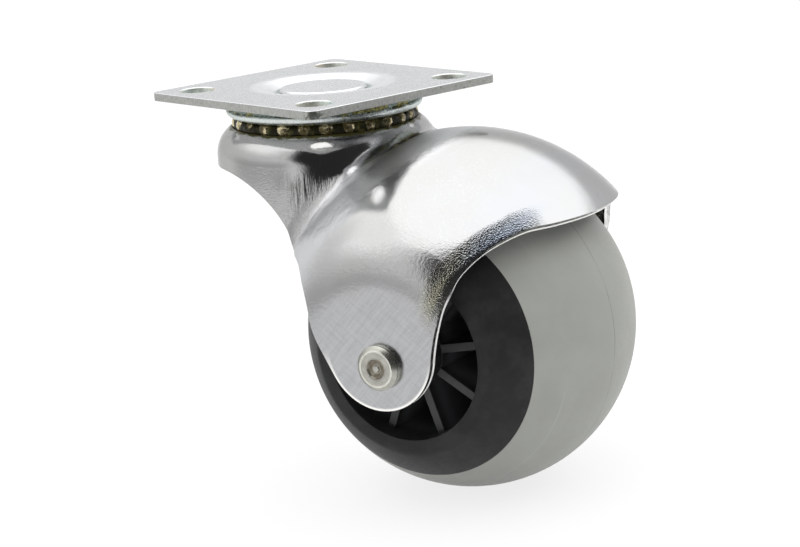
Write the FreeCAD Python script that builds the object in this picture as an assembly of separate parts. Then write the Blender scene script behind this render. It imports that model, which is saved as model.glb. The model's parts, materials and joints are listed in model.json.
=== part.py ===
"""Hooded swivel plate castor with a ball-shaped wheel.

Millimetres, +Z up. The origin is the centre of the plate's mounting face, on the
swivel axis. The wheel trails along +X and its axle lies along Y.
"""
import FreeCAD, Part
import math
import os

Vector = FreeCAD.Vector

# Top plate
plate_side = 38.0
plate_sheet = 1.3
plate_corner_r = 1.3
plate_edge_r = 0.12
plate_turn_deg = -15.0
hole_pitch = 27.6
hole_d = 5.5
hole_rim_r = 0.25
dish_floor_d = 15.0
dish_mouth_d = 20.4
dish_depth = 1.0
dish_soft_r = 1.5

# Kingpin, the rivet on the swivel axis
kingpin_d = 8.0
kingpin_head_d = 13.6
kingpin_head_h = 0.6
kingpin_head_edge_r = 0.45
kingpin_tail_d = 6.4
kingpin_tail_head_d = 10.0
kingpin_tail_head_h = 1.3

# Upper race, the pressed ring under the plate
upper_race_d = 30.6
upper_race_web = 1.2
upper_race_lip_r = 1.1
upper_race_line_depth = 0.3
upper_race_line_drop = 1.4

# Balls
upper_ball_d = 2.9
upper_ball_count = 26
upper_ball_circle_d = 26.2
upper_ball_drop = 5.0
lower_ball_d = 2.4
lower_ball_count = 20
lower_ball_circle_d = 16.4
ball_play = 0.12
ball_sides = 8
ball_bands = 4

# Lower race, the cup that the kingpin's tail holds
lower_race_d = 20.8
lower_race_floor = 0.98

# Fork, one pressed sheet: neck, hood and two ears
fork_sheet = 1.3
neck_d = 34.2
shoulder_r = 5.0
web_drop = 5.9
fork_hole_d = 10.4
hood_r = 29.9
ear_face = 26.0
ear_soft_r = 12.0
crease_r = 4.0
race_gap_above_web = 0.3

# Place of the wheel
trail = 24.45
axle_drop = 36.13

# Axle
axle_d = 5.0
axle_head_d = 6.7
axle_face_d = 5.4
axle_head_h = 1.4
axle_head_side = 0.9
axle_foot_h = 0.3
axle_foot_line = 0.12
axle_dimple_d = 2.9
axle_dimple_depth = 0.3
axle_nub_d = 1.1
axle_nub_h = 0.2
sleeve_d = 7.0
sleeve_play = 0.05

# Wheel
wheel_d = 50.0
wheel_width = 40.6
tread_width = 31.4
tread_seat_d = 36.8
recess_d = 25.4
recess_draft_deg = 1.5
hub_web = 3.0
boss_d = 10.4
boss_end_play = 0.5
bore_play = 0.05
rib_count = 9
rib_thick = 1.25
rib_sink = 2.8
rib_phase_deg = 10.0

# Outline of the fork's trimmed edge, seen from the side
neck_back_drop = 11.4
neck_arc_x = -9.7
neck_arc_r = 14.4
neck_arc_end_deg = 21.6
ear_tip_r = 8.85
ear_tip_x = -0.4
ear_tip_z = 2.2
ear_back_deg = 211.0
ear_front_deg = 355.0
rim_lift = 19.2
rim_dip = 0.25

# Worked out from the sizes above
dish_bend = math.atan2(dish_depth, (dish_mouth_d - dish_floor_d) / 2)
dish_shift = plate_sheet * math.tan(dish_bend / 2)
race_top = -dish_depth - plate_sheet
race_web_under = race_top - upper_race_web
upper_ball_r = upper_ball_d / 2
upper_groove_r = upper_ball_r + ball_play
upper_circle_r = upper_ball_circle_d / 2
race_lip = -upper_ball_drop + (upper_ball_r * 0.62)
groove_line = -plate_sheet - upper_race_line_drop
lower_ball_r = lower_ball_d / 2
lower_groove_r = lower_ball_r + ball_play
lower_circle_r = lower_ball_circle_d / 2
neck_r = neck_d / 2
shoulder_x = neck_r - shoulder_r
shoulder_z = -upper_ball_drop - shoulder_r
web_under = -web_drop - fork_sheet
lower_ball_z = web_under - lower_ball_r + race_gap_above_web
groove_under = -upper_ball_drop - upper_groove_r - fork_sheet
lower_race_top = lower_ball_z - race_gap_above_web
lower_race_seat = lower_race_top - 0.5
lower_race_under = lower_ball_z - lower_groove_r - lower_race_floor
wheel_r = wheel_d / 2
ear_inner = ear_face - fork_sheet
tread_edge_r = math.sqrt(wheel_r ** 2 - (tread_width / 2) ** 2)
hub_face_r = math.sqrt(wheel_r ** 2 - (wheel_width / 2) ** 2)
boss_half = ear_inner - boss_end_play
Z_AXIS = Vector(0, 0, 1)
Y_AXIS = Vector(0, 1, 0)
ORIGIN = Vector(0, 0, 0)
WHEEL_CENTRE = Vector(trail, 0, -axle_drop)


def across_swivel(r, z):
    """A point of a profile that turns about the swivel axis."""
    return Vector(r, 0, z)


def across_axle(r, y):
    """A point of a profile that turns about the axle."""
    return WHEEL_CENTRE + Vector(r, y, 0)


def side_view(x, z):
    """A point of an outline seen from the side."""
    return Vector(x, 0, z)


def from_wheel(x, z):
    """A side-view place counted from the wheel's centre."""
    return (trail + x, z - axle_drop)


def on_circle(centre, radius, degrees):
    """A flat point on a circle."""
    angle = math.radians(degrees)
    return (centre[0] + radius * math.cos(angle), centre[1] + radius * math.sin(angle))


def face_of(place, start, *steps):
    """A face from straight steps (a point) and arcs (a pair of points: by way of, to)."""
    edges = []
    here = place(*start)
    for step in steps + (start,):
        if isinstance(step[0], tuple):
            there = place(*step[1])
            edges.append(Part.Arc(here, place(*step[0]), there).toShape())
        else:
            there = place(*step)
            if here.distanceToPoint(there) < 1e-7:
                continue
            edges.append(Part.LineSegment(here, there).toShape())
        here = there
    return Part.Face(Part.Wire(edges))


def turned_on_swivel(start, *steps):
    """A solid turned about the swivel axis."""
    return face_of(across_swivel, start, *steps).revolve(ORIGIN, Z_AXIS, 360)


def turned_on_axle(start, *steps):
    """A solid turned about the axle."""
    return face_of(across_axle, start, *steps).revolve(WHEEL_CENTRE, Y_AXIS, 360)


def ring_groove(circle_r, z, radius):
    """The round channel that a row of balls runs in."""
    return Part.makeTorus(circle_r, radius, Vector(0, 0, z), Z_AXIS)


def hole_places():
    """Centres of the plate's four holes."""
    reach = hole_pitch / math.sqrt(2)
    places = []
    for quarter in range(4):
        x, y = on_circle((0, 0), reach, plate_turn_deg + 45 + 90 * quarter)
        places.append(Vector(x, y, 0))
    return places


def punched_hole():
    """What the punch takes away at the origin: a round hole whose upper rim is rolled over."""
    hole_r = hole_d / 2
    rim_centre = (hole_r + hole_rim_r, -hole_rim_r)
    return turned_on_swivel(
        (0, 0),
        (hole_r + hole_rim_r, 0),
        (on_circle(rim_centre, hole_rim_r, 135), (hole_r, -hole_rim_r)),
        (hole_r, -plate_sheet),
        (0, -plate_sheet),
    )


def top_plate():
    """Square pressed plate with a round dish for the kingpin's head."""
    half = plate_side / 2
    plate = Part.makeBox(plate_side, plate_side, plate_sheet, Vector(-half, -half, -plate_sheet))
    corners = [e for e in plate.Edges if abs(e.tangentAt(e.FirstParameter).z) > 0.99]
    plate = plate.makeFillet(plate_corner_r, corners)
    outline = [e for e in plate.Edges if abs(e.tangentAt(e.FirstParameter).z) < 0.01]
    plate = plate.makeFillet(plate_edge_r, outline)
    plate.rotate(ORIGIN, Z_AXIS, plate_turn_deg)
    for place in hole_places():
        hole = punched_hole()
        hole.translate(place)
        plate = plate.cut(hole)
    mouth_r = dish_mouth_d / 2
    floor_r = dish_floor_d / 2
    skirt_r = mouth_r + plate_sheet
    plate = plate.cut(Part.makeCylinder(skirt_r, plate_sheet, Vector(0, 0, -plate_sheet)))
    dish = turned_on_swivel(
        (kingpin_d / 2, -dish_depth),
        (floor_r, -dish_depth),
        (mouth_r, 0),
        (skirt_r, 0),
        (skirt_r, -plate_sheet),
        (mouth_r + dish_shift, -plate_sheet),
        (floor_r + dish_shift, race_top),
        (kingpin_d / 2, race_top),
    )
    plate = plate.fuse(dish).removeSplitter()
    soft = [e for e in plate.Edges if is_circle(e, mouth_r, 0) or is_circle(e, floor_r, -dish_depth)]
    return plate.makeFillet(dish_soft_r, soft)


def is_circle(edge, radius, z):
    """Whether an edge is a level circle of this radius at this height."""
    curve = edge.Curve
    if not isinstance(curve, Part.Circle):
        return False
    return abs(curve.Radius - radius) < 1e-4 and abs(curve.Center.z - z) < 1e-4


def upper_race():
    """Pressed ring that seats under the plate and holds the upper balls from above."""
    outer = upper_race_d / 2
    inner_lip = upper_circle_r - upper_groove_r
    ring = turned_on_swivel(
        (kingpin_d / 2, race_top),
        (dish_floor_d / 2 + dish_shift, race_top),
        (dish_mouth_d / 2 + dish_shift, -plate_sheet),
        (outer, -plate_sheet),
        (outer, groove_line + upper_race_line_depth),
        (outer - upper_race_line_depth, groove_line),
        (outer, groove_line - upper_race_line_depth),
        (
            on_circle((outer - upper_race_lip_r, race_lip + upper_race_lip_r), upper_race_lip_r, -45),
            (outer - upper_race_lip_r, race_lip),
        ),
        (inner_lip - 0.3, race_lip),
        (inner_lip - 0.7, race_web_under),
        (kingpin_d / 2, race_web_under),
    )
    return ring.cut(ring_groove(upper_circle_r, -upper_ball_drop, upper_groove_r))


def kingpin():
    """Stepped rivet: flat head in the dish, shank, and a tail head under the lower race."""
    head_r = kingpin_head_d / 2
    top = -dish_depth + kingpin_head_h
    edge = (head_r - kingpin_head_edge_r, top - kingpin_head_edge_r)
    tail_r = kingpin_tail_head_d / 2
    tail_low = lower_race_under - kingpin_tail_head_h
    return turned_on_swivel(
        (0, top),
        (head_r - kingpin_head_edge_r, top),
        (on_circle(edge, kingpin_head_edge_r, 45), (head_r, top - kingpin_head_edge_r)),
        (head_r, -dish_depth),
        (kingpin_d / 2, -dish_depth),
        (kingpin_d / 2, lower_race_seat),
        (kingpin_tail_d / 2, lower_race_seat),
        (kingpin_tail_d / 2, lower_race_under),
        (tail_r, lower_race_under),
        (tail_r, lower_race_under - kingpin_tail_head_h / 3),
        (tail_r * 0.75, tail_low),
        (0, tail_low),
    )


def lower_race():
    """Dished cup that holds the lower balls from below."""
    outer = lower_race_d / 2
    inner_lip = lower_circle_r - lower_groove_r
    cup = turned_on_swivel(
        (kingpin_tail_d / 2, lower_race_seat),
        (inner_lip - 0.8, lower_race_seat),
        (inner_lip - 0.5, lower_race_top),
        (outer, lower_race_top),
        (outer, lower_race_top - 0.8),
        (outer - 1.2, lower_race_under),
        (kingpin_tail_d / 2, lower_race_under),
    )
    return cup.cut(ring_groove(lower_circle_r, lower_ball_z, lower_groove_r))


def ball(radius):
    """A ball cut with few flat faces, so that a whole row of them stays light."""
    bands = []
    for band in range(1, ball_bands):
        tilt = 90 - 180 * band / ball_bands
        ring_r, z = on_circle((0, 0), radius, tilt)
        bands.append([Vector(*on_circle((0, 0), ring_r, 360 * side / ball_sides), z) for side in range(ball_sides)])
    top = Vector(0, 0, radius)
    bottom = Vector(0, 0, -radius)
    faces = []
    for side in range(ball_sides):
        after = (side + 1) % ball_sides
        faces.append([top, bands[0][side], bands[0][after]])
        faces.append([bottom, bands[-1][after], bands[-1][side]])
        for upper, lower in zip(bands, bands[1:]):
            faces.append([upper[side], lower[side], lower[after], upper[after]])
    shell = Part.makeShell([Part.Face(Part.makePolygon(points + points[:1])) for points in faces])
    return Part.makeSolid(shell)


def ball_row(name, radius, circle_r, z, count):
    """One node for each ball of a row."""
    row = {}
    for index in range(count):
        turn = 360 * index / count
        piece = ball(radius)
        piece.translate(Vector(circle_r, 0, z))
        piece.rotate(ORIGIN, Z_AXIS, turn)
        row["%s_%02d" % (name, index + 1)] = piece
    return row


def hood_body(radius, face, soft_r):
    """A ball with two flat sides whose edges are softened."""
    corner_y = face - soft_r
    corner_r = math.sqrt((radius - soft_r) ** 2 - corner_y ** 2)
    lean = math.degrees(math.atan2(corner_y, corner_r))
    near = on_circle((0, 0), radius, lean)
    mid = on_circle((corner_r, corner_y), soft_r, (90 + lean) / 2)
    return turned_on_axle(
        (0, face),
        (corner_r, face),
        (mid, near),
        ((radius, 0), (near[0], -near[1])),
        ((mid[0], -mid[1]), (corner_r, -face)),
        (0, -face),
    )


def neck_body(radius, shoulder, shoulder_end_deg, *top_steps):
    """The round neck, as a full body that reaches down into the hood."""
    centre = (shoulder_x, shoulder_z)
    return turned_on_swivel(
        (0, -axle_drop + radius / 2),
        (radius, -axle_drop + radius / 2),
        (radius, shoulder_z),
        (on_circle(centre, shoulder, shoulder_end_deg / 2), on_circle(centre, shoulder, shoulder_end_deg)),
        *top_steps
    )


def blended(neck, hood, radius):
    """Neck and hood in one, with the crease between them filled to a soft valley."""
    body = neck.fuse(hood).Solids[0]
    crease = []
    for edge in body.Edges:
        if edge.Degenerated:
            continue
        points = edge.discretize(7)[1:-1]
        on_hood = all(abs(p.distanceToPoint(WHEEL_CENTRE) - hood_r) < 1e-3 for p in points)
        in_front = min(p.x for p in points) > 0
        off_neck = max(math.hypot(p.x, p.y) for p in points) - neck_r
        if on_hood and in_front and off_neck < 1e-3:
            crease.append(edge)
    return body.makeFillet(radius, crease).Solids[0]


def trim_outline():
    """Side view of what is kept of the pressing: back of the neck and ears; the rim is cut apart."""
    neck_centre = (neck_arc_x, -neck_back_drop - neck_arc_r)
    neck_end = on_circle(neck_centre, neck_arc_r, neck_arc_end_deg)
    tip = from_wheel(ear_tip_x, ear_tip_z)
    ear_back = on_circle(tip, ear_tip_r, ear_back_deg)
    ear_front = on_circle(tip, ear_tip_r, ear_front_deg)
    far = hood_r + trail + 5
    return face_of(
        side_view,
        (-neck_d, 5),
        (-neck_d, -neck_back_drop),
        (neck_arc_x, -neck_back_drop),
        (on_circle(neck_centre, neck_arc_r, (90 + neck_arc_end_deg) / 2), neck_end),
        (from_wheel(-19.65, 14.1), from_wheel(-17.7, 13.35)),
        from_wheel(-16.4, 12.9),
        (from_wheel(-13.9, 10.4), from_wheel(-12.3, 7.0)),
        (from_wheel(-11.7, 4.7), from_wheel(-10.6, 2.2)),
        ear_back,
        (on_circle(tip, ear_tip_r, (ear_back_deg + ear_front_deg) / 2), ear_front),
        (far, ear_front[1]),
        (far, 5),
    )


def hood_skin(x, z):
    """Outside of the hood's near half at a side-view place from the wheel's centre, and its normal."""
    corner_y = ear_face - ear_soft_r
    corner_r = math.sqrt((hood_r - ear_soft_r) ** 2 - corner_y ** 2)
    r = math.hypot(x, z)
    if r <= corner_r:
        return Vector(x, -ear_face, z), Vector(0, -1, 0)
    if r < hood_r * corner_r / (hood_r - ear_soft_r):
        out = (r - corner_r) / ear_soft_r
        rise = math.sqrt(1 - out ** 2)
        return Vector(x, -corner_y - ear_soft_r * rise, z), Vector(out * x / r, -rise, out * z / r)
    place = Vector(x, -math.sqrt(max(hood_r ** 2 - r ** 2, 0)), z)
    return place, place / hood_r


def rim_places():
    """Side-view places up the front edge of an ear and along the rim to the tip of the hood."""
    tip_x = math.sqrt(hood_r ** 2 - rim_lift ** 2)
    lead = math.radians(ear_front_deg)
    ear_front = on_circle((ear_tip_x, ear_tip_z), ear_tip_r, ear_front_deg)
    below = (ear_front[0] + 3 * math.sin(lead), ear_front[1] - 3 * math.cos(lead))
    bend = (11.5, 11.3)
    front = (0.82 * tip_x, rim_lift - rim_dip)
    places = [below]
    for way in ((ear_front, (9.35, 5.8), bend), (bend, (15.2, 17.05), front)):
        arc = Part.Arc(*[Vector(x, 0, z) for x, z in way]).toShape()
        places += [(p.x, p.z) for p in arc.discretize(7)[:-1]]
    for share in (0, 0.38, 0.67, 0.865, 0.96, 1):
        places.append((front[0] + share * (tip_x - front[0]), rim_lift - rim_dip * (1 - share)))
    return places


def rim_cut():
    """The cut, square to the sheet, that trims the front of both ears and the rim of the hood."""
    inner = []
    outer = []
    for x, z in rim_places():
        place, normal = hood_skin(x, z)
        inner.append(place - normal * 2 * fork_sheet)
        outer.append(place + normal * fork_sheet)
    edges = []
    for line in (inner, outer):
        mirrored = [Vector(p.x, -p.y, p.z) for p in reversed(line[:-1])]
        spline = Part.BSplineCurve()
        spline.interpolate(line + mirrored)
        edges.append(spline.toShape())
    cut = Part.makeRuledSurface(edges[0], edges[1])
    cut.translate(WHEEL_CENTRE)
    return cut


def fork():
    """Neck, hood and ears pressed from one sheet, trimmed open behind and in front."""
    outside = blended(
        neck_body(neck_r, shoulder_r, 90, (0, -upper_ball_drop)),
        hood_body(hood_r, ear_face, ear_soft_r),
        crease_r,
    )
    inner_shoulder = shoulder_r - fork_sheet
    shoulder_end_deg = math.degrees(math.asin((groove_under - shoulder_z) / inner_shoulder))
    step_r = upper_circle_r - upper_groove_r - fork_sheet / 2
    neck_inside = neck_body(
        neck_r - fork_sheet, inner_shoulder, shoulder_end_deg,
        (step_r, groove_under), (step_r, web_under), (0, web_under),
    )
    hood_inside = hood_body(hood_r - fork_sheet, ear_inner, ear_soft_r - fork_sheet)
    shell = outside.cut(neck_inside.fuse(hood_inside))
    keep = trim_outline().extrude(Vector(0, 2 * hood_r, 0))
    keep.translate(Vector(0, -hood_r, 0))
    shell = shell.common(keep)
    pieces = shell.generalFuse([rim_cut()])[0].Solids
    shell = max(pieces, key=lambda piece: piece.BoundBox.ZMax)
    web_cut = Part.makeCylinder(upper_circle_r - upper_groove_r / 2, web_drop, Vector(0, 0, -web_drop))
    shell = shell.cut(web_cut)
    shell = shell.cut(ring_groove(upper_circle_r, -upper_ball_drop, upper_groove_r))
    shell = shell.cut(ring_groove(lower_circle_r, lower_ball_z, lower_groove_r))
    shell = shell.cut(Part.makeCylinder(fork_hole_d / 2, axle_drop, Vector(0, 0, -axle_drop / 2)))
    axle_hole = Part.makeCylinder(axle_d / 2, 2 * hood_r, WHEEL_CENTRE - Vector(0, hood_r, 0), Y_AXIS)
    return shell.cut(axle_hole)


def axle_rivet():
    """Axle pin with a formed head on each ear, flared at its foot and dimpled at its centre."""
    head_r = axle_head_d / 2
    waist_r = head_r - axle_foot_line
    face_r = axle_face_d / 2
    face = ear_face + axle_head_h
    foot = ear_face + axle_foot_h
    half = [
        (axle_d / 2, ear_face),
        (head_r, ear_face),
        (head_r, foot),
        (waist_r, foot + axle_foot_line / 2),
        (waist_r, foot + axle_foot_line),
        (head_r, foot + axle_foot_line * 1.5),
        (head_r, ear_face + axle_head_side),
        (face_r, face),
        (axle_dimple_d / 2, face),
        (axle_dimple_d / 2 - axle_dimple_depth / 2, face - axle_dimple_depth),
        (axle_nub_d / 2, face - axle_dimple_depth),
        (axle_nub_d / 2 - axle_nub_h / 2, face - axle_dimple_depth + axle_nub_h),
        (0, face - axle_dimple_depth + axle_nub_h),
    ]
    other = [(r, -y) for r, y in reversed(half)]
    return turned_on_axle(*(other + half))


def axle_sleeve():
    """Steel tube between the ears that the wheel turns on."""
    inner = axle_d / 2 + sleeve_play
    outer = sleeve_d / 2
    return turned_on_axle((inner, -ear_inner), (outer, -ear_inner), (outer, ear_inner), (inner, ear_inner))


def hub():
    """Moulded hub: boss, web, drum, ball-shaped flanges, and ribs in both open sides."""
    bore_r = sleeve_d / 2 + bore_play
    face = wheel_width / 2
    flange = tread_width / 2
    seat_r = tread_seat_d / 2
    mouth_r = recess_d / 2
    floor = hub_web / 2
    floor_r = mouth_r - (face - floor) * math.tan(math.radians(recess_draft_deg))
    lean = math.degrees(math.atan2(face + flange, hub_face_r + tread_edge_r))
    crown = on_circle((0, 0), wheel_r, lean)
    body = turned_on_axle(
        (bore_r, boss_half),
        (boss_d / 2, boss_half),
        (boss_d / 2, floor),
        (floor_r, floor),
        (mouth_r, face),
        (hub_face_r, face),
        (crown, (tread_edge_r, flange)),
        (seat_r, flange),
        (seat_r, -flange),
        (tread_edge_r, -flange),
        ((crown[0], -crown[1]), (hub_face_r, -face)),
        (mouth_r, -face),
        (floor_r, -floor),
        (boss_d / 2, -floor),
        (boss_d / 2, -boss_half),
        (bore_r, -boss_half),
    )
    rib_start = (boss_d / 2 + bore_r) / 2
    rib_length = floor_r + rib_thick / 2 - rib_start
    rib_height = 2 * (face - rib_sink)
    ribs = []
    for index in range(rib_count):
        rib = Part.makeBox(rib_length, rib_height, rib_thick, Vector(rib_start, -rib_height / 2, -rib_thick / 2))
        rib.rotate(ORIGIN, Y_AXIS, 360 * index / rib_count - rib_phase_deg)
        rib.translate(WHEEL_CENTRE)
        ribs.append(rib)
    return body.fuse(ribs).removeSplitter()


def tread():
    """Soft band moulded on the hub's drum, its outside part of the same ball."""
    flange = tread_width / 2
    seat_r = tread_seat_d / 2
    return turned_on_axle(
        (seat_r, -flange),
        (tread_edge_r, -flange),
        ((wheel_r, 0), (tread_edge_r, flange)),
        (seat_r, flange),
    )


def main():
    os.makedirs("parts", exist_ok=True)
    nodes = {
        "top_plate": top_plate(),
        "upper_race": upper_race(),
        "kingpin": kingpin(),
        "lower_race": lower_race(),
        "fork": fork(),
        "axle_rivet": axle_rivet(),
        "axle_sleeve": axle_sleeve(),
        "hub": hub(),
        "tread": tread(),
    }
    nodes.update(ball_row("upper_ball", upper_ball_r, upper_circle_r, -upper_ball_drop, upper_ball_count))
    nodes.update(ball_row("lower_ball", lower_ball_r, lower_circle_r, lower_ball_z, lower_ball_count))
    for name, shape in nodes.items():
        if not shape.isValid() or len(shape.Solids) != 1:
            raise RuntimeError("%s is not one good solid" % name)
        shape.Solids[0].exportStep("parts/%s.step" % name)


main()
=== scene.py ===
"""Looks of the swivel plate castor: finishes, smooth balls, grease, stage and camera.

Everything is in metres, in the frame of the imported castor: the origin is the centre of
the plate's mounting face, +Z is up, and the wheel trails along +X.
"""

import json
import math

import bpy
from bpy.props import FloatProperty, FloatVectorProperty, IntProperty, PointerProperty
from mathutils import Matrix, Vector

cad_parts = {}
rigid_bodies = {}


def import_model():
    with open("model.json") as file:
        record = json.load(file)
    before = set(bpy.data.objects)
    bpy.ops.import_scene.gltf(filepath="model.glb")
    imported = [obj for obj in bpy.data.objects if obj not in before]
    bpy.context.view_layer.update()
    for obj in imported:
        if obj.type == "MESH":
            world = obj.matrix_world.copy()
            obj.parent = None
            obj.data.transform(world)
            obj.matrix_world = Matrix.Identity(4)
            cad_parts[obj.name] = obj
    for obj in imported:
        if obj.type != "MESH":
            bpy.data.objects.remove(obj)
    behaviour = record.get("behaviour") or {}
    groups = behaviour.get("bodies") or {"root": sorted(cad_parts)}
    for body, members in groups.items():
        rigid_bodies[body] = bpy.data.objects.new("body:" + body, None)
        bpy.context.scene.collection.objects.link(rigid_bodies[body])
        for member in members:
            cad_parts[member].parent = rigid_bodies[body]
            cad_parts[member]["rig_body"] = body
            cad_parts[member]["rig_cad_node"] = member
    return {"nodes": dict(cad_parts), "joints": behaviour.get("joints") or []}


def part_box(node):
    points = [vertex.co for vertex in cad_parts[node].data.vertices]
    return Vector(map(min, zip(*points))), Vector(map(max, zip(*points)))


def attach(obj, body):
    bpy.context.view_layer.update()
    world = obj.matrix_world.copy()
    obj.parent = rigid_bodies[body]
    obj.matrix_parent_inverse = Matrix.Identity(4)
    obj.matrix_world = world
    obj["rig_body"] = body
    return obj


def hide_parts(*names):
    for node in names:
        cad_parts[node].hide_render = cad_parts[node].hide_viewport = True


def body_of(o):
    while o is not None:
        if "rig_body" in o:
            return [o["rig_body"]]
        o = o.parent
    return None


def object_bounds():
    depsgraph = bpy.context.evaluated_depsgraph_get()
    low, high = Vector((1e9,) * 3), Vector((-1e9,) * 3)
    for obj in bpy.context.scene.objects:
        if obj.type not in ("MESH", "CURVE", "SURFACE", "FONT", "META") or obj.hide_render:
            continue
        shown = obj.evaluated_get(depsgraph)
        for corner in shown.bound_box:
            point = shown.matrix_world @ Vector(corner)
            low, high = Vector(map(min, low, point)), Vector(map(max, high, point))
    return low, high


bl_info = {
    "name": "Swivel castor looks",
    "version": (1, 0, 0),
    "blender": (4, 5, 0),
    "location": "3D View > Sidebar > Castor",
    "description": "Finishes, smooth balls, grease, stage and camera of a swivel plate castor",
    "category": "Object",
}

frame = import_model()
CAD_LOW, CAD_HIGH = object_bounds()
MM = 0.001

JOINTS = {joint["name"]: joint for joint in frame["joints"]}
WHEEL_CENTRE = Vector(JOINTS["wheel_spin"]["pos_m"])
FORK_LOW, FORK_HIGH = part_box("fork")
RACE_LOW, RACE_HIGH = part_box("upper_race")
NECK_R = -FORK_LOW.x
EAR_FACE = FORK_HIGH.y
ORIGIN = Vector((0, 0, 0))

# Sizes of the pieces that the frame doesn't hold: R is a radius.
SHEET = 1.3 * MM
PLATE_TURN = math.radians(-15)
HOLE_PITCH = 27.6 * MM
HOLE_R = 2.75 * MM
HEAD_R = 6.8 * MM
AXLE_FACE_R = 2.7 * MM
RECESS_R = 12.7 * MM
RIB_Y = 17.5 * MM
HOOD_R = 29.9 * MM

# Seen from the side and measured from the wheel's centre: the ellipse that the hood's curled
# rim follows, and the circle of the ear's foot.
RIM_CENTRE = Vector((23, 0, 4)) * MM
RIM_HALF_LENGTH = 13.9 * MM
RIM_HALF_HEIGHT = 15.2 * MM
FOOT_CENTRE = Vector((-0.4, 0, 2.2)) * MM
FOOT_R = 8.85 * MM

# Places and colours of marks in the finishes.
PARTING_Y = -0.9 * MM
WELD_Y = -10.8 * MM
SMUDGE_PLACE = Vector((13.0, -22.0, -0.7)) * MM
SMUDGE_COLOUR = (0.10, 0.11, 0.09)
WARM_WALL = (0.66, 0.62, 0.55)
TEAL_WALL = (0.62, 0.78, 0.76)
# Colour of the painted shade round the kingpin rivet's head.
HEAD_SHADE_COLOUR = (0.20, 0.25, 0.24)
# Colour of the painted highlight along the ear's foot.
FOOT_HIGHLIGHT_COLOUR = (0.97, 0.96, 0.93)
# Colour of the painted highlight on the fork's cut edge.
EDGE_HIGHLIGHT_COLOUR = (0.95, 0.95, 0.93)
STAIN_COLOUR = (0.11, 0.085, 0.05)
BROWN_FILM = (0.07, 0.055, 0.015)
# Colour of the painted light down in the hub's recess.
RECESS_LIGHT_COLOUR = (0.095, 0.098, 0.104)
RUBBED_COLOUR = (0.064, 0.065, 0.064)

# The studio.
SOFT_BOX_CENTRE = Vector((0.05, 0.42, 1.0))
FLOOR_GLOW = 0.8


class CastorSteelSettings(bpy.types.PropertyGroup):
    """Sizes and colours of the steel pieces."""
    zinc: FloatVectorProperty(
        name="Zinc", description="Colour of the zinc plating", subtype="COLOR",
        size=3, min=0, max=1, default=(0.645, 0.655, 0.665))
    sheared: FloatVectorProperty(
        name="Sheared edge", description="Colour of the plate's cut edges and hole walls", subtype="COLOR",
        size=3, min=0, max=1, default=(0.47, 0.475, 0.455))
    chrome: FloatVectorProperty(
        name="Bright plating", description="Colour of the fork's bright plating", subtype="COLOR",
        size=3, min=0, max=1, default=(0.44, 0.445, 0.455))
    nickel: FloatVectorProperty(
        name="Nickel", description="Colour of the axle's heads", subtype="COLOR",
        size=3, min=0, max=1, default=(0.43, 0.425, 0.385))
    ball_steel: FloatVectorProperty(
        name="Balls", description="Colour of the balls in their grease", subtype="COLOR",
        size=3, min=0, max=1, default=(0.60, 0.53, 0.34))
    grease: FloatVectorProperty(
        name="Grease", description="Colour of the grease", subtype="COLOR",
        size=3, min=0, max=1, default=(0.30, 0.28, 0.09))
    fork_edge: FloatProperty(
        name="Fork edge", description="Width of the soft edge of the fork's sheet", unit="LENGTH",
        min=0, default=0.28 * MM)
    axle_edge: FloatProperty(
        name="Axle edge", description="Width of the soft edges of the axle and its sleeve", unit="LENGTH",
        min=0, default=0.12 * MM)
    cut_edge: FloatVectorProperty(
        name="Cut edge", description="Colour of the fork's cut edges", subtype="COLOR",
        size=3, min=0, max=1, default=(0.62, 0.62, 0.61))
    grease_lumps: FloatProperty(
        name="Grease lumps", description="How far the grease swells and sinks", unit="LENGTH",
        min=0, default=1.0 * MM)
    lump_size: FloatProperty(
        name="Lump size", description="Size of the lumps in the grease", unit="LENGTH",
        min=0, default=2.2 * MM)
    ball_segments: IntProperty(
        name="Ball segments", description="Faces around each ball", min=8, default=24)


class CastorWheelSettings(bpy.types.PropertyGroup):
    """Sizes and colours of the wheel."""
    hub: FloatVectorProperty(
        name="Hub", description="Colour of the moulded hub", subtype="COLOR",
        size=3, min=0, max=1, default=(0.0175, 0.018, 0.018))
    tread: FloatVectorProperty(
        name="Tread", description="Colour of the tread", subtype="COLOR",
        size=3, min=0, max=1, default=(0.280, 0.288, 0.266))
    hub_edge: FloatProperty(
        name="Hub edge", description="Width of the soft edges of the hub", unit="LENGTH",
        min=0, default=0.18 * MM)
    seam_width: FloatProperty(
        name="Seam", description="Width of the parting line round the tread", unit="LENGTH",
        min=0, default=0.18 * MM)


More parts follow.
